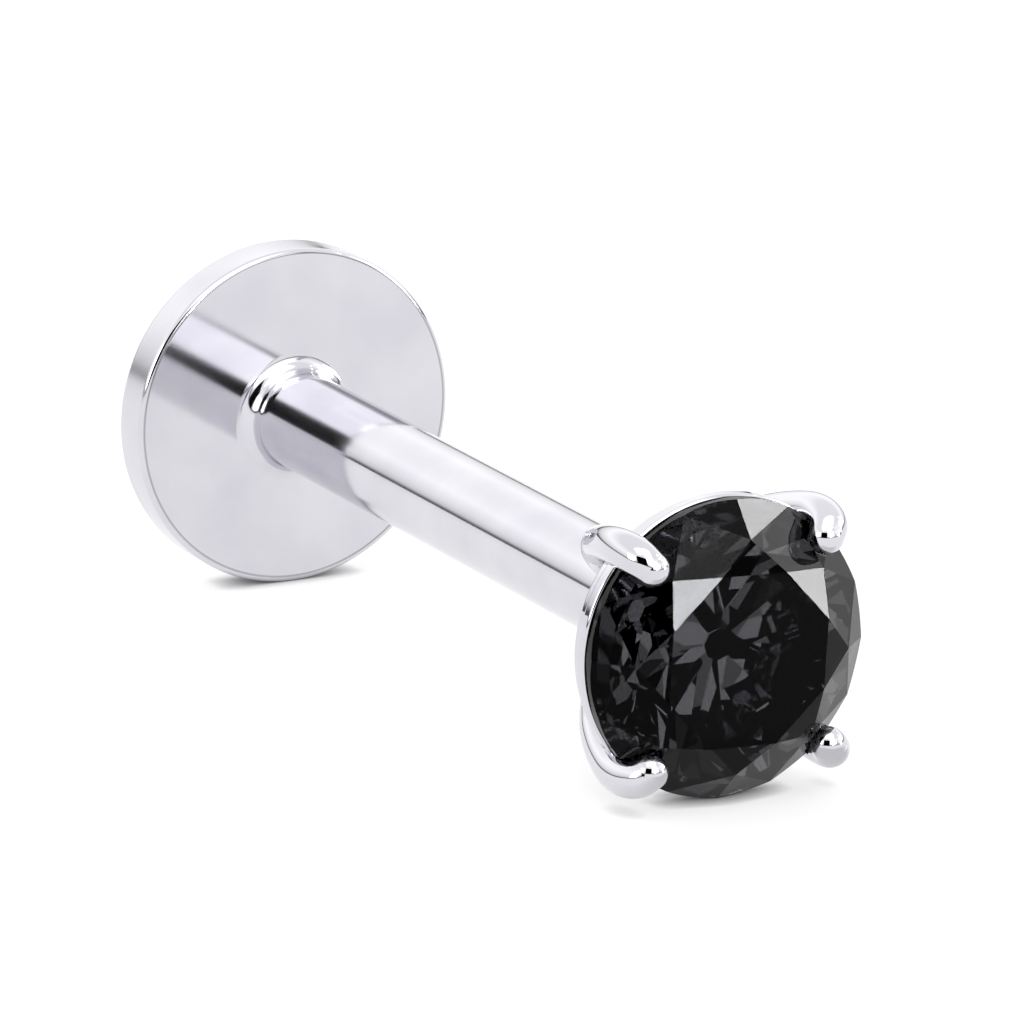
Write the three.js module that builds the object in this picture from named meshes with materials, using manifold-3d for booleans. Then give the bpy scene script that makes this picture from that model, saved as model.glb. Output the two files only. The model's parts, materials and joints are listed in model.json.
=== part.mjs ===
// Labret stud: a flat disc back with a tubular post, and a four-claw top with a round
// brilliant stone whose plain pin pushes into the open end of the post.
// Units are millimetres. The stud lies on its side, as it rests on a table by itself:
// the stone faces -Y and the floor is the plane z = 0.

import * as THREE from "three";
import { ConvexGeometry } from "three/addons/geometries/ConvexGeometry.js";
import { mergeVertices } from "three/addons/utils/BufferGeometryUtils.js";
import Module from "manifold-3d";

const manifoldLibrary = await Module();
manifoldLibrary.setup();

// Driving dimensions. Heights run along the stud's own axis, from the disc's front face
// (0) towards the stone; radii are measured from that axis.
const DISC_RADIUS = 1.8;
const DISC_THICKNESS = 0.5;
const DISC_EDGE = 0.04;
const POST_RADIUS = 0.51;
const POST_LENGTH = 7.65;
const POST_FILLET = 0.18;
const POST_LIP = 0.04;
const BORE_RADIUS = 0.33;
const BORE_DEPTH = 2.8;
const PIN_RADIUS = 0.3;
const PIN_LENGTH = 2.5;
const PIN_TAPER = 0.1;

const STONE_RADIUS = 1.475;
const TABLE_RATIO = 0.57;
const CROWN_ANGLE = THREE.MathUtils.degToRad(34.5);
const PAVILION_ANGLE = THREE.MathUtils.degToRad(40.75);
const GIRDLE_THICKNESS = 0.11;
const STAR_LENGTH = 0.5;
const LOWER_HALF_LENGTH = 0.77;
const STONE_TURN = THREE.MathUtils.degToRad(29);
const MAIN_FACETS = 8;
const GIRDLE_STEPS_PER_HALF = 4;

const GIRDLE_ABOVE_POST = 1.5;
const RAIL_RADIUS = 1.49;
const RAIL_INNER_RADIUS = 1.14;
const RAIL_TOP = -0.09;
const RAIL_LEDGE = -0.23;
const RAIL_LEDGE_RADIUS = 1.41;
const RAIL_BOTTOM = -0.42;
const RAIL_EDGE = 0.03;
const HUB_RADIUS = 0.62;
const HUB_HEIGHT = 0.28;
const HUB_EDGE = 0.05;
// Where the four claws stand round the stone, in degrees: they are bent by hand, so their
// spacing isn't quite even.
const CLAW_ANGLES = [50.5, 135, 226.5, 314.5];
const CLAW_WIRE_RADIUS = 0.18;

const JOINT_GAP = 0.02;
const SEAT_GAP = 0.015;
const CULET_GAP = 0.021;
const ROUND_SEGMENTS = 64;
const BORE_SEGMENTS = 32;
const ARC_STEPS = 5;
const CLAW_STEPS = 24;
const CLAW_HALF_SIDES = 7;
const CLAW_TIP_RINGS = 10;

const GIRDLE_HEIGHT = POST_LENGTH + GIRDLE_ABOVE_POST;

// Centre line of one claw, from its foot in the hub to its rounded tip over the crown.
// The height is measured from the middle of the stone's girdle.
const CLAW_LINE = [
  { radius: 0.45, height: -1.29 },
  { radius: 0.96, height: -1.21 },
  { radius: 1.24, height: -0.95 },
  { radius: 1.43, height: -0.6 },
  { radius: 1.55, height: -0.22 },
  { radius: 1.565, height: 0.04 },
  { radius: 1.51, height: 0.24 },
  { radius: 1.4, height: 0.33 },
];

const POLISHED_METAL = { color: 0xe0dee6, roughness: 0.06, metalness: 1 };
const BLACK_STONE = { color: 0x0b0b0d, roughness: 0.02, metalness: 0 };

// Points of a round corner, a quarter circle between two angles about its centre.
function arcPoints(centreRadius, centreHeight, arcRadius, startDegrees, endDegrees) {
  const start = THREE.MathUtils.degToRad(startDegrees);
  const sweep = THREE.MathUtils.degToRad(endDegrees) - start;
  return Array.from({ length: ARC_STEPS + 1 }, (_, step) => {
    const angle = start + (sweep * step) / ARC_STEPS;
    const radius = centreRadius + arcRadius * Math.cos(angle);
    return new THREE.Vector2(radius, centreHeight + arcRadius * Math.sin(angle));
  });
}

// Turns a profile of (radius, height) about the stud's axis.
function turned(profile, segments = ROUND_SEGMENTS) {
  const geometry = new THREE.LatheGeometry(profile, segments);
  geometry.rotateX(Math.PI / 2);
  return geometry;
}

function toManifold(geometry) {
  const bare = geometry.clone();
  bare.deleteAttribute("normal");
  bare.deleteAttribute("uv");
  const merged = mergeVertices(bare, 1e-5);
  const mesh = new manifoldLibrary.Mesh({
    numProp: 3,
    vertProperties: new Float32Array(merged.attributes.position.array),
    triVerts: new Uint32Array(merged.index.array),
  });
  return new manifoldLibrary.Manifold(mesh);
}

function toGeometry(solid) {
  const mesh = solid.getMesh();
  const geometry = new THREE.BufferGeometry();
  geometry.setAttribute("position", new THREE.BufferAttribute(mesh.vertProperties, 3));
  geometry.setIndex(new THREE.BufferAttribute(mesh.triVerts, 1));
  geometry.computeVertexNormals();
  return geometry;
}

function namedMesh(name, geometry, look) {
  const mesh = new THREE.Mesh(geometry, new THREE.MeshStandardMaterial(look));
  mesh.name = name;
  return mesh;
}

function point(radius, height) {
  return new THREE.Vector2(radius, height);
}

// Disc and post, turned in one piece, with a hollow fillet between them and a blind bore
// in the post's open end.
function labretBack() {
  const boreBottom = POST_LENGTH - BORE_DEPTH;
  const edgeCentre = DISC_RADIUS - DISC_EDGE;
  const filletCentre = POST_RADIUS + POST_FILLET;
  return turned([
    point(0, -DISC_THICKNESS),
    ...arcPoints(edgeCentre, DISC_EDGE - DISC_THICKNESS, DISC_EDGE, -90, 0),
    ...arcPoints(edgeCentre, -DISC_EDGE, DISC_EDGE, 0, 90),
    ...arcPoints(filletCentre, POST_FILLET, POST_FILLET, 270, 180),
    ...arcPoints(POST_RADIUS - POST_LIP, POST_LENGTH - POST_LIP, POST_LIP, 0, 90),
    point(BORE_RADIUS, POST_LENGTH),
    point(BORE_RADIUS, boreBottom),
    point(0, boreBottom),
  ]);
}

function polar(radius, angle, height) {
  return new THREE.Vector3(radius * Math.cos(angle), radius * Math.sin(angle), height);
}

// Heights and radii at which the stone's facets meet, from the middle of its girdle.
function stoneLevels() {
  const halfTurn = Math.PI / MAIN_FACETS;
  const tableRadius = STONE_RADIUS * TABLE_RATIO;
  const tableFlat = tableRadius * Math.cos(halfTurn);
  const girdleTop = GIRDLE_THICKNESS / 2;
  const starRadius = tableFlat + STAR_LENGTH * (STONE_RADIUS - tableFlat);
  const starRise = (STONE_RADIUS - starRadius * Math.cos(halfTurn)) * Math.tan(CROWN_ANGLE);
  const lowerRadius = STONE_RADIUS * (1 - LOWER_HALF_LENGTH);
  const lowerDrop = (STONE_RADIUS - lowerRadius * Math.cos(halfTurn)) * Math.tan(PAVILION_ANGLE);
  return {
    tableRadius,
    tableHeight: girdleTop + (STONE_RADIUS - tableRadius) * Math.tan(CROWN_ANGLE),
    starRadius,
    starHeight: girdleTop + starRise,
    girdleTop,
    lowerRadius,
    lowerHeight: -girdleTop - lowerDrop,
    culetHeight: -girdleTop - STONE_RADIUS * Math.tan(PAVILION_ANGLE),
  };
}

// Where a half facet's plane meets the round girdle, which gives the girdle its scallops.
function scallop(mainAngle, halfAngle, junction, height) {
  const corners = [mainAngle, halfAngle].map((angle) => polar(STONE_RADIUS, angle, height));
  const plane = new THREE.Plane().setFromCoplanarPoints(corners[0], corners[1], junction);
  return Array.from({ length: GIRDLE_STEPS_PER_HALF }, (_, step) => {
    const share = step / GIRDLE_STEPS_PER_HALF;
    const rim = polar(STONE_RADIUS, THREE.MathUtils.lerp(mainAngle, halfAngle, share), 0);
    rim.z = -plane.distanceToPoint(rim) / plane.normal.z;
    return rim;
  });
}

// Round brilliant: table, eight stars, eight kites and sixteen halves above the girdle,
// eight mains and sixteen halves below it.
function stoneGeometry() {
  const levels = stoneLevels();
  const halfTurn = Math.PI / MAIN_FACETS;
  const corners = [new THREE.Vector3(0, 0, levels.culetHeight)];
  for (let facet = 0; facet < MAIN_FACETS; facet += 1) {
    const mainAngle = STONE_TURN + 2 * facet * halfTurn;
    const halfAngle = mainAngle + halfTurn;
    const star = polar(levels.starRadius, halfAngle, levels.starHeight);
    const lower = polar(levels.lowerRadius, halfAngle, levels.lowerHeight);
    corners.push(polar(levels.tableRadius, mainAngle, levels.tableHeight), star, lower);
    for (const side of [mainAngle, mainAngle + 2 * halfTurn]) {
      corners.push(...scallop(side, halfAngle, star, levels.girdleTop));
      corners.push(...scallop(side, halfAngle, lower, -levels.girdleTop));
    }
    corners.push(polar(STONE_RADIUS, halfAngle, levels.girdleTop));
    corners.push(polar(STONE_RADIUS, halfAngle, -levels.girdleTop));
  }
  return new ConvexGeometry(corners);
}

// The room that the stone takes in the setting, with a hair's clearance all round.
function seatSolid() {
  const levels = stoneLevels();
  return toManifold(turned([
    point(0, levels.culetHeight - CULET_GAP),
    point(STONE_RADIUS + SEAT_GAP, -levels.girdleTop - SEAT_GAP / 2),
    point(STONE_RADIUS + SEAT_GAP, levels.girdleTop + SEAT_GAP / 2),
    point(levels.starRadius + SEAT_GAP, levels.starHeight + SEAT_GAP),
    point(levels.tableRadius, levels.tableHeight + SEAT_GAP),
    point(0, levels.tableHeight + SEAT_GAP),
  ]));
}

// Seat rail under the girdle: an outer band with a narrower ledge behind it.
function railSolid() {
  const outer = arcPoints(RAIL_RADIUS - RAIL_EDGE, RAIL_TOP - RAIL_EDGE, RAIL_EDGE, 0, 90);
  const corner = arcPoints(RAIL_LEDGE_RADIUS - RAIL_EDGE, RAIL_BOTTOM + RAIL_EDGE, RAIL_EDGE, -90, 0);
  const start = point(RAIL_INNER_RADIUS, RAIL_BOTTOM);
  return toManifold(turned([
    start,
    ...corner,
    point(RAIL_LEDGE_RADIUS, RAIL_LEDGE),
    point(RAIL_RADIUS, RAIL_LEDGE),
    ...outer,
    point(RAIL_INNER_RADIUS, RAIL_TOP),
    start.clone(),
  ]));
}

// Hub that closes the post's end, with the plain pin that pushes into the bore.
function hubAndPinSolid() {
  const hubBottom = JOINT_GAP - GIRDLE_ABOVE_POST;
  const pinEnd = hubBottom - PIN_LENGTH;
  const hub = turned([
    point(0, hubBottom),
    point(HUB_RADIUS - HUB_EDGE, hubBottom),
    point(HUB_RADIUS, hubBottom + HUB_EDGE),
    point(HUB_RADIUS, hubBottom + HUB_HEIGHT),
    point(0, hubBottom + HUB_HEIGHT),
  ]);
  const pin = turned([
    point(0, pinEnd),
    point(PIN_RADIUS - PIN_TAPER, pinEnd),
    point(PIN_RADIUS, pinEnd + 2 * PIN_TAPER),
    point(PIN_RADIUS, hubBottom + HUB_EDGE),
    point(0, hubBottom + HUB_EDGE),
  ], BORE_SEGMENTS);
  return toManifold(hub).add(toManifold(pin));
}

// One bent claw wire with a rounded tip, drawn in the plane that it bends in.
function clawSolid(angle) {
  const points = CLAW_LINE.map(({ radius, height }) => polar(radius, angle, height));
  const line = new THREE.CatmullRomCurve3(points, false, "centripetal");
  const section = new THREE.Shape();
  section.absarc(0, 0, CLAW_WIRE_RADIUS, 0, 2 * Math.PI);
  const wire = new THREE.ExtrudeGeometry(section, {
    steps: CLAW_STEPS,
    curveSegments: CLAW_HALF_SIDES,
    extrudePath: line,
  });
  const tip = new THREE.SphereGeometry(CLAW_WIRE_RADIUS, 2 * CLAW_HALF_SIDES, CLAW_TIP_RINGS);
  tip.translate(...points[points.length - 1].toArray());
  return toManifold(wire).add(toManifold(tip));
}

// Rail, claws, hub and pin soldered into one solid, with the stone's seat cut in it.
function settingGeometry() {
  let metal = railSolid().add(hubAndPinSolid());
  for (const angle of CLAW_ANGLES) {
    metal = metal.add(clawSolid(THREE.MathUtils.degToRad(angle)));
  }
  return toGeometry(metal.subtract(seatSolid()));
}

// Lays the stud on the floor: the disc's front edge and the rail carry it.
function layDown(stud) {
  const drop = DISC_RADIUS - RAIL_RADIUS;
  const reach = GIRDLE_HEIGHT + RAIL_TOP - RAIL_EDGE + DISC_EDGE;
  stud.rotation.x = Math.PI / 2 + Math.atan(drop / reach);
  const laid = new THREE.Group();
  laid.add(stud);
  const box = new THREE.Box3().setFromObject(laid, true);
  const centre = box.getCenter(new THREE.Vector3());
  laid.position.set(-centre.x, -centre.y, -box.min.z);
  return laid;
}

function labretStud() {
  const stud = new THREE.Group();
  const top = new THREE.Group();
  top.position.z = GIRDLE_HEIGHT;
  top.add(namedMesh("claw_setting", settingGeometry(), POLISHED_METAL));
  top.add(namedMesh("stone", stoneGeometry(), BLACK_STONE));
  stud.add(namedMesh("disc_back_and_post", labretBack(), POLISHED_METAL), top);
  return layDown(stud);
}

export default labretStud();
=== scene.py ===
# Labret stud with a black brilliant in a four-claw top, lying on a pale studio floor.
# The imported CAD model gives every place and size; Blender adds the fine surfaces,
# the finishes, the light and the camera. Lengths are metres unless a name says mm.

import json
import math

import bmesh
import bpy
from mathutils import Matrix, Vector


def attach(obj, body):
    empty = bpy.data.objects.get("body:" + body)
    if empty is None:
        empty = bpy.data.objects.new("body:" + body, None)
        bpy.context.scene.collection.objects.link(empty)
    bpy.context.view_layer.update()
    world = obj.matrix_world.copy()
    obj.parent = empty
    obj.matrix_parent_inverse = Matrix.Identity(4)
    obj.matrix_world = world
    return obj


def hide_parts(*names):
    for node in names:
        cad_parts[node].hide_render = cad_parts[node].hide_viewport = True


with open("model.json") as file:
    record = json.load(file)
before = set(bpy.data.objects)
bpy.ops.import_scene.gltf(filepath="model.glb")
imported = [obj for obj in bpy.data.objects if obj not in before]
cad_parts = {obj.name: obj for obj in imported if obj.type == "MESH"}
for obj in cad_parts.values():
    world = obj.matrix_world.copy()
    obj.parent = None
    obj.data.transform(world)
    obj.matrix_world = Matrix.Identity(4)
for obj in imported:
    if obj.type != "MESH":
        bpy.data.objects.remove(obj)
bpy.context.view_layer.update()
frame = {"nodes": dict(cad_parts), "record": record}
mm = 0.001
print("frame loaded:", ", ".join(sorted(frame["nodes"])))


# The camera looks down on the stone from its left front.
cameraSettings = {
    "lens": 281.25,
    "azimuth": -28.008,
    "elevation": 14.246,
    "distance": 79.66 * mm,
    "aim": (0, -0.287 * mm, 1.85 * mm),
    "clip": (0.001, 5),
}


def directionTo(azimuth, elevation):
    a, e = math.radians(azimuth), math.radians(elevation)
    return Vector((math.sin(a) * math.cos(e), -math.cos(a) * math.cos(e), math.sin(e)))


def addCamera(settings):
    data = bpy.data.cameras.new("studioCamera")
    data.lens = settings["lens"]
    data.clip_start, data.clip_end = settings["clip"]
    camera = bpy.data.objects.new("studioCamera", data)
    bpy.context.scene.collection.objects.link(camera)
    outward = directionTo(settings["azimuth"], settings["elevation"])
    camera.location = Vector(settings["aim"]) + outward * settings["distance"]
    camera.rotation_euler = (-outward).to_track_quat("-Z", "Y").to_euler()
    bpy.context.scene.camera = camera


addCamera(cameraSettings)
bpy.context.scene.view_settings.view_transform = "Standard"
print("camera placed")


def principled(name):
    material = bpy.data.materials.new(name)
    material.use_nodes = True
    return material, material.node_tree.nodes, material.node_tree.links


def polishedMetal(name, look):
    material, nodes, links = principled(name)
    shader = nodes["Principled BSDF"]
    shader.inputs["Metallic"].default_value = 1
    place = nodes.new("ShaderNodeTexCoord")
    scale = nodes.new("ShaderNodeMapping")
    scale.inputs["Scale"].default_value = (1 / mm, 1 / mm, 1 / mm)
    links.new(place.outputs["Object"], scale.inputs["Vector"])

    cloud = nodes.new("ShaderNodeTexNoise")
    cloud.inputs["Scale"].default_value = look["cloudScale"]
    cloud.inputs["Detail"].default_value = 3
    links.new(scale.outputs["Vector"], cloud.inputs["Vector"])
    tone = nodes.new("ShaderNodeMix")
    tone.data_type = "RGBA"
    tone.inputs["A"].default_value = (*look["colour"], 1)
    tone.inputs["B"].default_value = (*look["coolColour"], 1)
    patches = nodes.new("ShaderNodeMapRange")
    patches.inputs["From Min"].default_value = look["cloudBand"][0]
    patches.inputs["From Max"].default_value = look["cloudBand"][1]
    links.new(cloud.outputs["Fac"], patches.inputs["Value"])
    links.new(patches.outputs["Result"], tone.inputs["Factor"])
    links.new(tone.outputs["Result"], shader.inputs["Base Color"])

    gloss = nodes.new("ShaderNodeMapRange")
    gloss.inputs["To Min"].default_value = look["roughness"][0]
    gloss.inputs["To Max"].default_value = look["roughness"][1]
    links.new(cloud.outputs["Fac"], gloss.inputs["Value"])
    links.new(gloss.outputs["Result"], shader.inputs["Roughness"])
    if "rimRoughness" in look:  # the outer edge keeps a softer shine than the face
        fromAxis = nodes.new("ShaderNodeVectorMath")
        fromAxis.operation = "LENGTH"
        centre = nodes.new("ShaderNodeMapping")
        centre.inputs["Location"].default_value = look["rimCentre"]
        centre.inputs["Scale"].default_value = (1 / mm, 0, 1 / mm)
        links.new(place.outputs["Object"], centre.inputs["Vector"])
        links.new(centre.outputs["Vector"], fromAxis.inputs[0])
        rim = nodes.new("ShaderNodeMapRange")
        rim.inputs["From Min"].default_value = look["rimBand"][0]
        rim.inputs["From Max"].default_value = look["rimBand"][1]
        rim.inputs["To Max"].default_value = look["rimRoughness"]
        links.new(fromAxis.outputs["Value"], rim.inputs["Value"])
        both = nodes.new("ShaderNodeMath")
        both.operation = "ADD"
        links.new(gloss.outputs["Result"], both.inputs[0])
        links.new(rim.outputs["Result"], both.inputs[1])
        links.new(both.outputs["Value"], shader.inputs["Roughness"])
        # a painted reflection: a fine dark ring in the colour where the face rolls over into the
        # edge, standing in for the dark horizon line that the edge would reflect
        span, line = nodes.new("ShaderNodeMapRange"), nodes.new("ShaderNodeValToRGB")
        span.inputs["From Min"].default_value = look["paintedDarkEdgeLine"][0]
        span.inputs["From Max"].default_value = look["paintedDarkEdgeLine"][1]
        links.new(fromAxis.outputs["Value"], span.inputs["Value"])
        links.new(span.outputs["Result"], line.inputs["Fac"])
        line.color_ramp.elements[0].color = line.color_ramp.elements[1].color = (1, 1, 1, 1)
        for position in (0.3, 0.7):
            line.color_ramp.elements.new(position).color = (*(look["paintedDarkEdgeLineTone"],) * 3, 1)
        shade = nodes.new("ShaderNodeMix")
        shade.data_type, shade.blend_type = "RGBA", "MULTIPLY"
        shade.inputs["Factor"].default_value = 1
        links.new(tone.outputs["Result"], shade.inputs["A"])
        links.new(line.outputs["Color"], shade.inputs["B"])
        links.new(shade.outputs["Result"], shader.inputs["Base Color"])

    hairlines = nodes.new("ShaderNodeTexNoise")
    hairlines.inputs["Scale"].default_value = look["hairlineScale"]
    hairlines.inputs["Detail"].default_value = 2
    links.new(scale.outputs["Vector"], hairlines.inputs["Vector"])
    relief = nodes.new("ShaderNodeBump")
    relief.inputs["Strength"].default_value = look["relief"]
    relief.inputs["Distance"].default_value = look["hairlineDepth"]
    links.new(hairlines.outputs["Fac"], relief.inputs["Height"])
    links.new(relief.outputs["Normal"], shader.inputs["Normal"])
    return material


turnedLook = {
    "colour": (0.68, 0.672, 0.71),
    "coolColour": (0.62, 0.61, 0.66),
    "cloudScale": 0.9,
    "cloudBand": (0.36, 0.64),
    "roughness": (0.07, 0.11),
    "hairlineScale": 40,
    "hairlineDepth": 0.001 * mm,
    "relief": 0.05,
}
clawLook = {**turnedLook, "roughness": (0.02, 0.04)}
discLook = {
    **turnedLook,
    "rimRoughness": 0.1,
    "rimBand": (1.785, 1.795),  # mm from the stud's axis
    "rimCentre": (0, 0, -1.81),  # mm, the axis where it crosses the disc
    # band and tone of the painted dark ring at the face's edge, a painted reflection of the horizon
    # line
    "paintedDarkEdgeLine": (1.732, 1.762),  # mm from the stud's axis
    "paintedDarkEdgeLineTone": 0.62,
}
turnedMetal = polishedMetal("turnedMetal", discLook)
clawMetal = polishedMetal("clawMetal", clawLook)

stoneLook = {
    "tint": (0.045, 0.045, 0.048),
    "paleTint": (0.055, 0.055, 0.059),
    "cloudScale": 1.4,
    "ior": 2.4,
    "surfaceTint": (0.016, 0.016, 0.0165),
    "depthColour": (0.5, 0.5, 0.52),
    "depthDensity": 300,
}


def blackGlass(name, look):
    material, nodes, links = principled(name)
    shader = nodes["Principled BSDF"]
    place, scale = nodes.new("ShaderNodeTexCoord"), nodes.new("ShaderNodeMapping")
    scale.inputs["Scale"].default_value = (1 / mm, 1 / mm, 1 / mm)
    cloud, tone = nodes.new("ShaderNodeTexNoise"), nodes.new("ShaderNodeMix")
    cloud.inputs["Scale"].default_value = look["cloudScale"]
    tone.data_type = "RGBA"
    tone.inputs["A"].default_value = (*look["tint"], 1)
    tone.inputs["B"].default_value = (*look["paleTint"], 1)
    links.new(place.outputs["Object"], scale.inputs["Vector"])
    links.new(scale.outputs["Vector"], cloud.inputs["Vector"])
    links.new(cloud.outputs["Fac"], tone.inputs["Factor"])
    links.new(tone.outputs["Result"], shader.inputs["Base Color"])
    shader.inputs["Transmission Weight"].default_value = 1
    shader.inputs["IOR"].default_value = look["ior"]
    shader.inputs["Roughness"].default_value = 0
    shader.inputs["Specular Tint"].default_value = (*look["surfaceTint"], 1)
    depth = nodes.new("ShaderNodeVolumeAbsorption")
    depth.inputs["Color"].default_value = (*look["depthColour"], 1)
    depth.inputs["Density"].default_value = look["depthDensity"]
    links.new(depth.outputs["Volume"], nodes["Material Output"].inputs["Volume"])
    return material


blackStone = blackGlass("blackStone", stoneLook)
print("finishes made")


# Local z runs along the stud from the disc's front face (0) to the stone, y is up.
disc = {
    "radius": 1.8 * mm,
    "thickness": 0.5 * mm,
    "edge": 0.055 * mm,
    "postRadius": 0.51 * mm,
    "postLength": 7.65 * mm,
    "fillet": 0.18 * mm,
    "lip": 0.04 * mm,
    "boreRadius": 0.33 * mm,
    "boreDepth": 2.8 * mm,
    "girdleAbovePost": 1.5 * mm,
    "sides": 192,
    "bevelSteps": 8,
}
discBack = frame["record"]["mounts"][0]
alongStud = -Vector(discBack["axis"]).normalized()
across = Vector((1, 0, 0))
studFrame = Matrix((across, alongStud.cross(across), alongStud)).transposed().to_4x4()
studFrame.translation = Vector(discBack["pos_m"]) + alongStud * disc["thickness"]
girdleHeight = disc["postLength"] + disc["girdleAbovePost"]


def newPiece(name, bm, material, slot, *replaced, sharpAngle=30):
    mesh = bpy.data.meshes.new(name)
    bm.to_mesh(mesh)
    bm.free()
    mesh.transform(studFrame)
    mesh.set_sharp_from_angle(angle=math.radians(sharpAngle))
    piece = bpy.data.objects.new(name, mesh)
    bpy.context.scene.collection.objects.link(piece)
    mesh.materials.append(material)
    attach(piece, "root")
    if replaced:
        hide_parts(*replaced)
    return piece


def edgesAt(bm, radius, height, tolerance=1e-6):
    found = []
    for edge in bm.edges:
        if all(abs(math.hypot(v.co.x, v.co.y) - radius) < tolerance
               and abs(v.co.z - height) < tolerance for v in edge.verts):
            found.append(edge)
    return found


# Spins a profile of (radius, height, rounding) corners. A loop just outside each rounding
# keeps the flats and the straights beside it truly flat in the reflections.
def turnShape(corners, sides, steps, support=0.006 * mm):
    places = [Vector(corner[:2]) for corner in corners]
    profile = []
    for index, (here, corner) in enumerate(zip(places, corners)):
        reach = corner[2] + support
        if corner[2] and index:
            profile.append(here + (places[index - 1] - here).normalized() * reach)
        profile.append(here)
        if corner[2] and index + 1 < len(places):
            profile.append(here + (places[index + 1] - here).normalized() * reach)
    bm = bmesh.new()
    verts = [bm.verts.new((point.x, 0, point.y)) for point in profile]
    edges = [bm.edges.new(pair) for pair in zip(verts, verts[1:])]
    bmesh.ops.spin(
        bm, geom=verts + edges, cent=(0, 0, 0), axis=(0, 0, 1),
        angle=2 * math.pi, steps=sides, use_merge=True,
    )
    bmesh.ops.remove_doubles(bm, verts=bm.verts, dist=1e-7)
    bmesh.ops.recalc_face_normals(bm, faces=bm.faces)
    for radius, height, rounding in corners:
        if rounding:
            bmesh.ops.bevel(
                bm, geom=edgesAt(bm, radius, height), offset=rounding, offset_type="OFFSET",
                segments=steps, profile=0.5, affect="EDGES", material=-1,
            )
    for face in bm.faces:
        face.smooth = True
    return bm


def makeDiscBack(size):
    foot, length = -size["thickness"], size["postLength"]
    boreBottom = length - size["boreDepth"]
    return turnShape([
        (0, foot, 0),
        (size["radius"], foot, size["edge"]),
        (size["radius"], 0, size["edge"]),
        (size["postRadius"], 0, size["fillet"]),
        (size["postRadius"], length, size["lip"]),
        (size["boreRadius"], length, 0),
        (size["boreRadius"], boreBottom, 0),
        (0, boreBottom, 0),
    ], size["sides"], size["bevelSteps"])


newPiece(
    "polishedDiscBack", makeDiscBack(disc), turnedMetal, "polished_metal", "disc_back_and_post",
)
print("disc back turned")


setting = {
    "railRadius": 1.49 * mm,
    "railInner": 1.14 * mm,
    "railTop": -0.09 * mm,
    "ledgeTop": -0.23 * mm,
    "ledgeRadius": 1.41 * mm,
    "railBottom": -0.42 * mm,
    "railEdge": 0.03 * mm,
    "hubRadius": 0.62 * mm,
    "hubBottom": -1.48 * mm,
    "hubTop": -1.2 * mm,
    "pinRadius": 0.3 * mm,
    "pinEnd": -3.98 * mm,
    "pinTaper": 0.1 * mm,
    "hubEdge": 0.05 * mm,
    "sides": 192,
    "hubSides": 96,
    "bevelSteps": 5,
}


def lift(bm):
    bmesh.ops.translate(bm, verts=bm.verts, vec=(0, 0, girdleHeight))


def makeRail(size):
    edge = size["railEdge"]
    bm = turnShape([
        (size["railInner"], size["railBottom"], 0),
        (size["ledgeRadius"], size["railBottom"], edge),
        (size["ledgeRadius"], size["ledgeTop"], 0),
        (size["railRadius"], size["ledgeTop"], edge),
        (size["railRadius"], size["railTop"], edge),
        (size["railInner"], size["railTop"], 0),
        (size["railInner"], size["railBottom"], 0),
    ], size["sides"], size["bevelSteps"])
    lift(bm)
    return bm


def makeHub(size):
    bm = turnShape([
        (0, size["pinEnd"], 0),
        (size["pinRadius"], size["pinEnd"], size["pinTaper"]),
        (size["pinRadius"], size["hubBottom"], 0),
        (size["hubRadius"], size["hubBottom"], size["hubEdge"]),
        (size["hubRadius"], size["hubTop"], size["hubEdge"]),
        (0, size["hubTop"], 0),
    ], size["hubSides"], size["bevelSteps"])
    lift(bm)
    return bm


claw = {
    "angles": (50.5, 135, 226.5, 314.5),  # bent by hand, so not quite evenly spaced
    "sides": 48,
    "stepsPerSpan": 14,
    "tipSteps": 12,
    "mergeDistance": 0.001 * mm,
    "sliverLength": 0.0002 * mm,
    # radius from the axis, height from the girdle's middle, wire radius
    "line": [
        (0.45, -1.29, 0.165), (0.96, -1.21, 0.165), (1.24, -0.95, 0.165), (1.43, -0.6, 0.17),
        (1.55, -0.22, 0.18), (1.565, 0.04, 0.19), (1.51, 0.24, 0.187), (1.4, 0.33, 0.174),
    ],
}


def smoothLine(points, steps):
    padded = [points[0], *points, points[-1]]
    line = []
    for a, b, c, d in zip(padded, padded[1:], padded[2:], padded[3:]):
        for step in range(steps):
            t = step / steps
            line.append(0.5 * (
                2 * b + (c - a) * t + (2 * a - 5 * b + 4 * c - d) * t ** 2
                + (3 * b - a - 3 * c + d) * t ** 3
            ))
    return [*line, points[-1]]


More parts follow.
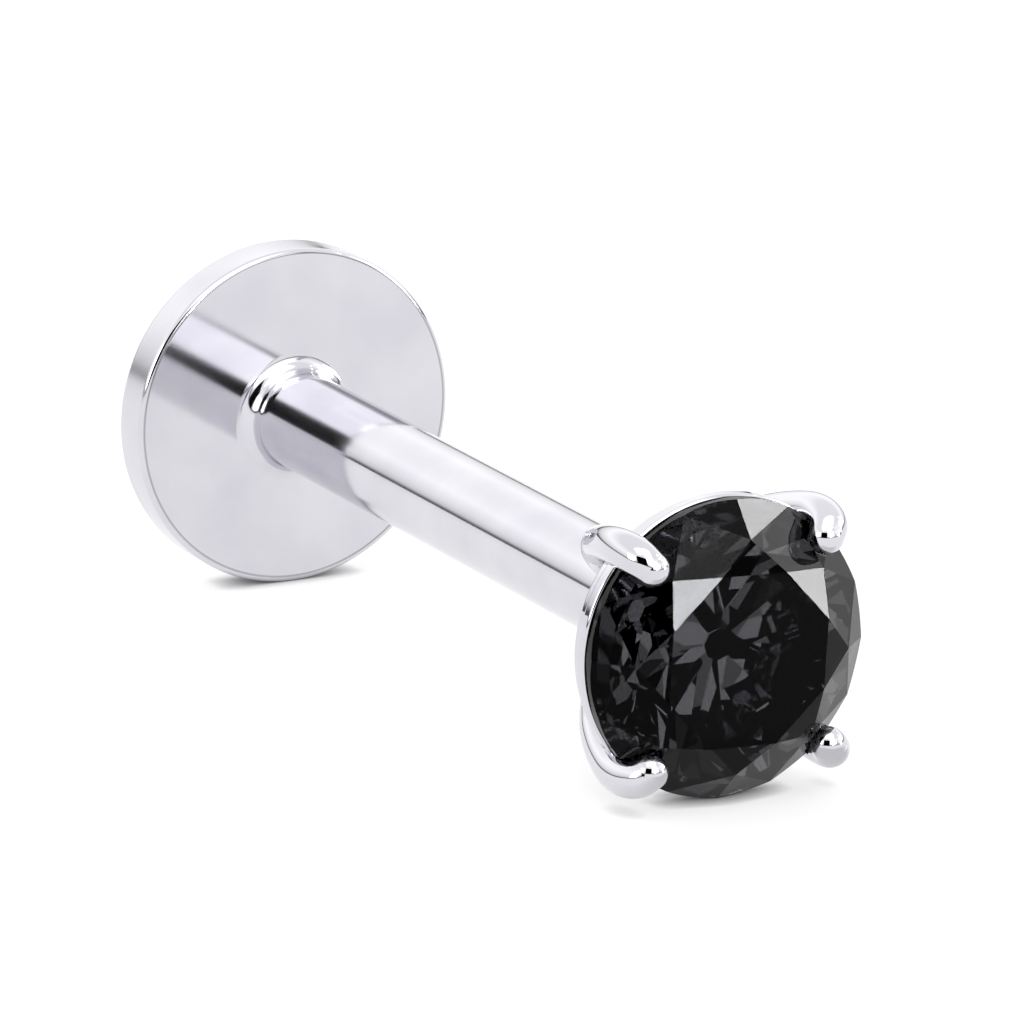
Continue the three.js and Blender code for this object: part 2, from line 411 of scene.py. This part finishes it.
def makeClaw(size, angle):
    bm = bmesh.new()
    line = smoothLine([Vector(p) * mm for p in size["line"]], size["stepsPerSpan"])
    tipSteps = size["tipSteps"]
    end, before = line[-1], line[-2]
    ahead = Vector((end.x - before.x, end.y - before.y)).normalized()
    for step in range(1, tipSteps + 1):
        turn = math.pi / 2 * step / tipSteps
        out = end.z * math.sin(turn)
        line.append(Vector((end.x + ahead.x * out, end.y + ahead.y * out,
                            max(end.z * math.cos(turn), 1e-7))))
    rings = []
    for index, here in enumerate(line):
        a, b = line[max(index - 1, 0)], line[min(index + 1, len(line) - 1)]
        along = Vector((b.x - a.x, 0, b.y - a.y)).normalized()
        if index >= len(line) - tipSteps - 1:
            along = Vector((ahead.x, 0, ahead.y))
        side = Vector((0, 1, 0))
        matrix = Matrix((side.cross(along), side, along)).transposed().to_4x4()
        matrix.translation = Vector((here.x, 0, here.y))
        ring = bmesh.ops.create_circle(bm, segments=size["sides"], radius=here.z, matrix=matrix)
        rings.append(ring["verts"])
    for low, high in zip(rings, rings[1:]):
        edges = {e for v in low + high for e in v.link_edges
                 if all(w in low or w in high for w in e.verts) and len(e.link_faces) < 2}
        bmesh.ops.bridge_loops(bm, edges=list(edges))
    bmesh.ops.contextual_create(bm, geom=rings[0])
    bmesh.ops.remove_doubles(bm, verts=bm.verts, dist=size["mergeDistance"])
    bmesh.ops.recalc_face_normals(bm, faces=bm.faces)
    for face in bm.faces:
        face.smooth = True
    bmesh.ops.rotate(bm, verts=bm.verts, cent=(0, 0, 0), matrix=Matrix.Rotation(angle, 3, "Z"))
    lift(bm)
    return bm


newPiece("seatRail", makeRail(setting), clawMetal, "polished_metal", "claw_setting")
hub = newPiece("hubAndPin", makeHub(setting), clawMetal, "polished_metal")
hub.visible_transmission = False  # the stone's point stays dark
claws = []
for number, angle in enumerate(claw["angles"], start=1):
    wire = makeClaw(claw, math.radians(angle))
    claws.append(newPiece(f"claw{number}", wire, clawMetal, "polished_metal"))
print("setting made")


stone = {
    "radius": 1.475 * mm,
    "tableRatio": 0.62,
    "crownAngle": 37,
    "pavilionAngle": 40.75,
    "girdle": 0.11 * mm,
    "starLength": 0.5,
    "lowerHalfLength": 0.77,
    "turn": 20,
    "mains": 8,
    "girdleSides": 256,
    "seatGap": 0.012 * mm,
}


def grind(bm, point, normal):
    cut = bmesh.ops.bisect_plane(
        bm, geom=[*bm.verts, *bm.edges, *bm.faces], dist=1e-9,
        plane_co=point, plane_no=normal, clear_outer=True,
    )
    edges = [g for g in cut["geom_cut"] if isinstance(g, bmesh.types.BMEdge)]
    rim = [e for e in edges if len(e.link_faces) < 2]
    if rim:
        bmesh.ops.contextual_create(bm, geom=rim)


def polar(radius, angle, height):
    return Vector((radius * math.cos(angle), radius * math.sin(angle), height))


def planeThrough(a, b, c):
    normal = (b - a).cross(c - a).normalized()
    return a, normal if normal.dot(a) > 0 else -normal


def makeStone(size):
    radius, half = size["radius"], math.pi / size["mains"]
    crown, pavilion = math.radians(size["crownAngle"]), math.radians(size["pavilionAngle"])
    top = size["girdle"] / 2
    tableRadius = radius * size["tableRatio"]
    tableFlat = tableRadius * math.cos(half)
    tableHeight = top + (radius - tableRadius) * math.tan(crown)
    starRadius = tableFlat + size["starLength"] * (radius - tableFlat)
    starHeight = top + (radius - starRadius * math.cos(half)) * math.tan(crown)
    lowerRadius = radius * (1 - size["lowerHalfLength"])
    lowerHeight = -top - (radius - lowerRadius * math.cos(half)) * math.tan(pavilion)

    bm = bmesh.new()
    bmesh.ops.create_cone(
        bm, cap_ends=True, segments=size["girdleSides"], radius1=radius, radius2=radius,
        depth=3 * radius,
    )
    for number in range(size["mains"]):
        main = math.radians(size["turn"]) + 2 * number * half
        middle, after = main + half, main + 2 * half
        star, lower = polar(starRadius, middle, starHeight), polar(lowerRadius, middle, lowerHeight)
        for side in (main, after):
            grind(bm, *planeThrough(polar(radius, side, top), polar(radius, middle, top), star))
            grind(bm, *planeThrough(polar(radius, side, -top), polar(radius, middle, -top), lower))
        grind(bm, polar(radius, main, top), polar(math.sin(crown), main, math.cos(crown)))
        grind(bm, polar(radius, main, -top), polar(math.sin(pavilion), main, -math.cos(pavilion)))
    for number in range(size["mains"]):
        main = math.radians(size["turn"]) + 2 * number * half
        star = polar(starRadius, main + half, starHeight)
        corners = [polar(tableRadius, side, tableHeight) for side in (main, main + 2 * half)]
        grind(bm, *planeThrough(*corners, star))
    grind(bm, Vector((0, 0, tableHeight)), Vector((0, 0, 1)))
    bmesh.ops.remove_doubles(bm, verts=bm.verts, dist=1e-8)
    bmesh.ops.recalc_face_normals(bm, faces=bm.faces)
    openEdges = sum(len(e.link_faces) != 2 for e in bm.edges)
    print("stone facets:", len(bm.faces), "open edges:", openEdges)
    lift(bm)
    return bm


newPiece(
    "blackBrilliant", makeStone(stone), blackStone, "black_stone", "stone",
    sharpAngle=3,  # every facet stays crisp, and only the girdle is smooth
)
print("stone ground")


# Cuts the stone's room out of each claw, so that the metal closes round the girdle.
def makeSeat(size):
    radius, gap, top = size["radius"], size["seatGap"], size["girdle"] / 2
    crown, pavilion = math.radians(size["crownAngle"]), math.radians(size["pavilionAngle"])
    tableRadius = radius * size["tableRatio"]
    bm = turnShape([
        (0, -top - radius * math.tan(pavilion) - gap / math.cos(pavilion), 0),
        (radius + gap, -top - gap / 2, 0),
        (radius + gap, top + gap / 2, 0),
        (tableRadius + gap, top + (radius - tableRadius) * math.tan(crown) + gap / 2, 0),
        (0, top + (radius - tableRadius) * math.tan(crown) + gap / 2, 0),
    ], size["girdleSides"], 1)
    lift(bm)
    mesh = bpy.data.meshes.new("seat")
    bm.to_mesh(mesh)
    bm.free()
    mesh.transform(studFrame)
    seat = bpy.data.objects.new("seat", mesh)
    bpy.context.scene.collection.objects.link(seat)
    return seat


def cutSeat(pieces, seat):
    for piece in pieces:
        cut = piece.modifiers.new("seat", "BOOLEAN")
        cut.operation, cut.solver, cut.object = "DIFFERENCE", "EXACT", seat
    shapes = bpy.context.evaluated_depsgraph_get()
    for piece in pieces:
        mesh = bpy.data.meshes.new_from_object(piece.evaluated_get(shapes))
        bm = bmesh.new()
        bm.from_mesh(mesh)
        bmesh.ops.remove_doubles(bm, verts=bm.verts, dist=claw["mergeDistance"])
        bmesh.ops.dissolve_degenerate(bm, edges=bm.edges, dist=claw["sliverLength"])
        print(piece.name, "open edges:", sum(len(e.link_faces) != 2 for e in bm.edges))
        bm.to_mesh(mesh)
        bm.free()
        piece.modifiers.clear()
        piece.data = mesh
        mesh.name = piece.name
        mesh.set_sharp_from_angle(angle=math.radians(30))
    bpy.data.objects.remove(seat)


cutSeat(claws, makeSeat(stone))
print("seat cut")


studio = {
    "floorRadius": 0.6,
    "roundSides": 96,
    "floorTone": (0.42, 0.42, 0.421),
    "floorGlow": 0.66,
    # reach of the painted contact shadow in the floor's glow
    "paintedContactShadow": 0.2 * mm,
    "sky": 1.12,
    # elevation and strength: a dark line at the horizon, then brighter up to the softboxes
    "lowWall": [(0.01, 1.09), (4.2, 1.09)],
    "wall": [(4.2, 0.08), (6, 0.12), (9, 0.85), (14, 1.1), (26, 1.42), (45, 1.12)],
    "wallRadius": 0.26,
    # azimuth, elevation, width, height, strength, softness of the edges, distance
    "panels": {
        "frontSoftbox": (4, 22, 50, 34, 1.9, 0.1, 0.25),
        "topSoftbox": (-20, 68, 62, 40, 4, 0.3, 0.25),
        "leftSoftbox": (-84, 20, 30, 26, 6, 0.2, 0.245),
        "rightSoftbox": (75, 24, 30, 22, 6, 0.2, 0.245),
        "cameraGap": (-42, 22, 38, 33, 0, 0, 0.24),
        "rightGap": (31, 16, 5, 24, 0.5, 0, 0.24),
        "frontLamp": (0.7, 10.75, 3, 3, 205, 0, 0.235),
        "highGlow": (0, 45, 26, 18, 9, 0.1, 0.245),
        "highLamp": (73.6, 42.6, 2, 1.6, 38, 0, 0.235),
        "sideGlow": (58, 9, 14, 12, 7, 0, 0.235),
        "sideLamp": (58.1, 2.7, 1.8, 1.8, 44, 0, 0.235),
    },
    # a dim grey card flat on the floor under the head, seen only in reflections: a painted shadow
    # of the head on the floor, as the claws and the stone reflect it
    "paintedHeadShadowCard": {
        "centre": (0.7 * mm, -5.6 * mm, 0.02 * mm),
        "size": (5.6 * mm, 3 * mm),
        "strength": 0.78,
        "softness": 0.3,
    },
    # patches of light all round that only shine through the stone
    "sparkles": {
        "radius": 0.2,
        "scale": 3.4,
        "shift": (3.1, 0, 0),
        "strength": 3,
        "tones": [(0, 0), (0.5, 0.07), (0.64, 0.45), (0.82, 1)],
    },
}


def stagePiece(name, bm, material):
    mesh = bpy.data.meshes.new(name)
    bm.to_mesh(mesh)
    bm.free()
    piece = bpy.data.objects.new(name, mesh)
    bpy.context.scene.collection.objects.link(piece)
    mesh.materials.append(material)
    return piece


# A light that shows in reflections, or only through the stone, and nowhere else.
def showOnlyIn(piece, glossy=False, transmission=False):
    piece.visible_camera = False
    piece.visible_diffuse = False
    piece.visible_shadow = False
    piece.visible_volume_scatter = False
    piece.visible_glossy = glossy
    piece.visible_transmission = transmission


def emission(name):
    material = bpy.data.materials.new(name)
    material.use_nodes = True
    nodes, links = material.node_tree.nodes, material.node_tree.links
    nodes.clear()
    output, lamp = nodes.new("ShaderNodeOutputMaterial"), nodes.new("ShaderNodeEmission")
    links.new(lamp.outputs["Emission"], output.inputs["Surface"])
    return material, nodes, links, lamp


def rampBetween(nodes, links, source, low, high):
    soft = nodes.new("ShaderNodeMapRange")
    soft.interpolation_type = "SMOOTHSTEP"
    soft.inputs["From Min"].default_value = low
    soft.inputs["From Max"].default_value = high
    links.new(source, soft.inputs["Value"])
    return soft.outputs["Result"]


# A panel that fades out towards its edges.
def softGlow(name, strength, softness):
    material, nodes, links, lamp = emission(name)
    lamp.inputs["Strength"].default_value = strength
    if not softness:
        return material
    place, split = nodes.new("ShaderNodeTexCoord"), nodes.new("ShaderNodeSeparateXYZ")
    links.new(place.outputs["UV"], split.inputs["Vector"])
    mask = None
    for side in ("X", "Y"):
        for low, high in ((0, softness), (1, 1 - softness)):
            edge = rampBetween(nodes, links, split.outputs[side], low, high)
            if mask is None:
                mask = edge
                continue
            both = nodes.new("ShaderNodeMath")
            both.operation = "MULTIPLY"
            links.new(mask, both.inputs[0])
            links.new(edge, both.inputs[1])
            mask = both.outputs["Value"]
    clear, mix = nodes.new("ShaderNodeBsdfTransparent"), nodes.new("ShaderNodeMixShader")
    links.new(mask, mix.inputs["Fac"])
    links.new(clear.outputs["BSDF"], mix.inputs[1])
    links.new(lamp.outputs["Emission"], mix.inputs[2])
    links.new(mix.outputs["Shader"], nodes["Material Output"].inputs["Surface"])
    return material


def addFloor():
    material, nodes, links = principled("paleFloor")
    shader = nodes["Principled BSDF"]
    shader.inputs["Base Color"].default_value = (*studio["floorTone"], 1)
    shader.inputs["Roughness"].default_value = 1
    shader.inputs["Specular IOR Level"].default_value = 0
    # the floor glows by itself, which keeps the real shadows faint; ambient occlusion darkens this
    # glow close to where metal touches, a painted contact shadow
    contact = nodes.new("ShaderNodeAmbientOcclusion")
    contact.samples = 4
    contact.inputs["Distance"].default_value = studio["paintedContactShadow"]
    links.new(contact.outputs["Color"], shader.inputs["Emission Color"])
    shader.inputs["Emission Strength"].default_value = studio["floorGlow"]
    bm = bmesh.new()
    bmesh.ops.create_circle(
        bm, cap_ends=True, segments=studio["roundSides"], radius=studio["floorRadius"],
    )
    stagePiece("floor", bm, material).visible_transmission = False


def addSky():
    world = bpy.data.worlds.new("studioSky")
    bpy.context.scene.world = world
    world.use_nodes = True
    sky = world.node_tree.nodes["Background"]
    sky.inputs["Color"].default_value = (1, 1, 1, 1)
    sky.inputs["Strength"].default_value = studio["sky"]
    world.cycles_visibility.transmission = False


def addPanel(name, azimuth, elevation, width, height, strength, softness, distance):
    bm = bmesh.new()
    bm.loops.layers.uv.new("panel")
    spanX, spanY = (2 * distance * math.tan(math.radians(s) / 2) for s in (width, height))
    outward = directionTo(azimuth, elevation)
    matrix = outward.to_track_quat("-Z", "Y").to_matrix().to_4x4()
    matrix.translation = outward * distance
    bmesh.ops.create_grid(bm, x_segments=1, y_segments=1, size=0.5, calc_uvs=True)
    bmesh.ops.scale(bm, verts=bm.verts, vec=(spanX, spanY, 1))
    bmesh.ops.transform(bm, verts=bm.verts, matrix=matrix)
    return stagePiece(name, bm, softGlow(name, strength, softness))


def addCard(name, look):
    bm = bmesh.new()
    bm.loops.layers.uv.new("card")
    bmesh.ops.create_grid(bm, x_segments=1, y_segments=1, size=0.5, calc_uvs=True)
    bmesh.ops.scale(bm, verts=bm.verts, vec=(*look["size"], 1))
    bmesh.ops.translate(bm, verts=bm.verts, vec=look["centre"])
    return stagePiece(name, bm, softGlow(name, look["strength"], look["softness"]))


# A round wall whose brightness changes with the elevation.
def addWall(name, stops, radius):
    material, nodes, links, lamp = emission(name)
    place, split = nodes.new("ShaderNodeTexCoord"), nodes.new("ShaderNodeSeparateXYZ")
    fade, brightest = nodes.new("ShaderNodeValToRGB"), max(strength for _, strength in stops)
    heights = [radius * math.tan(math.radians(elevation)) for elevation, _ in stops]
    links.new(place.outputs["Object"], split.inputs["Vector"])
    share = nodes.new("ShaderNodeMapRange")
    share.inputs["From Min"].default_value = heights[0]
    share.inputs["From Max"].default_value = heights[-1]
    links.new(split.outputs["Z"], share.inputs["Value"])
    links.new(share.outputs["Result"], fade.inputs["Fac"])
    while len(fade.color_ramp.elements) < len(stops):
        fade.color_ramp.elements.new(0.5)
    for mark, height, (_, strength) in zip(fade.color_ramp.elements, heights, stops):
        tone = strength / brightest
        mark.position = (height - heights[0]) / (heights[-1] - heights[0])
        mark.color = (tone, tone, tone, 1)
    links.new(fade.outputs["Color"], lamp.inputs["Color"])
    lamp.inputs["Strength"].default_value = brightest
    bm = bmesh.new()
    bmesh.ops.create_cone(
        bm, cap_ends=False, segments=studio["roundSides"], radius1=radius, radius2=radius,
        depth=heights[-1] - heights[0],
        matrix=Matrix.Translation((0, 0, (heights[-1] + heights[0]) / 2)),
    )
    showOnlyIn(stagePiece(name, bm, material), glossy=True)


# A dome of patches, each with its own brightness.
def addSparkles(look):
    material, nodes, links, lamp = emission("sparkles")
    place, shift = nodes.new("ShaderNodeTexCoord"), nodes.new("ShaderNodeMapping")
    cells, tones = nodes.new("ShaderNodeTexVoronoi"), nodes.new("ShaderNodeValToRGB")
    split = nodes.new("ShaderNodeSeparateColor")
    shift.inputs["Location"].default_value = look["shift"]
    shift.inputs["Scale"].default_value = (1 / look["radius"],) * 3
    cells.inputs["Scale"].default_value = look["scale"]
    links.new(place.outputs["Object"], shift.inputs["Vector"])
    links.new(shift.outputs["Vector"], cells.inputs["Vector"])
    links.new(cells.outputs["Color"], split.inputs["Color"])
    links.new(split.outputs["Red"], tones.inputs["Fac"])
    tones.color_ramp.interpolation = "CONSTANT"
    while len(tones.color_ramp.elements) < len(look["tones"]):
        tones.color_ramp.elements.new(0.5)
    for mark, (position, tone) in zip(tones.color_ramp.elements, look["tones"]):
        mark.position, mark.color = position, (tone, tone, tone, 1)
    links.new(tones.outputs["Color"], lamp.inputs["Color"])
    lamp.inputs["Strength"].default_value = look["strength"]
    bm = bmesh.new()
    bmesh.ops.create_icosphere(bm, subdivisions=4, radius=look["radius"])
    showOnlyIn(stagePiece("sparkles", bm, material), transmission=True)


addFloor()
addSky()
addWall("lowWall", studio["lowWall"], studio["wallRadius"])
addWall("softWall", studio["wall"], studio["wallRadius"])
for name, place in studio["panels"].items():
    showOnlyIn(addPanel(name, *place), glossy=True)
# the dim card under the head, a painted floor shadow seen only in reflections
showOnlyIn(addCard("paintedHeadShadowCard", studio["paintedHeadShadowCard"]), glossy=True)
addSparkles(studio["sparkles"])
print("stage lit")
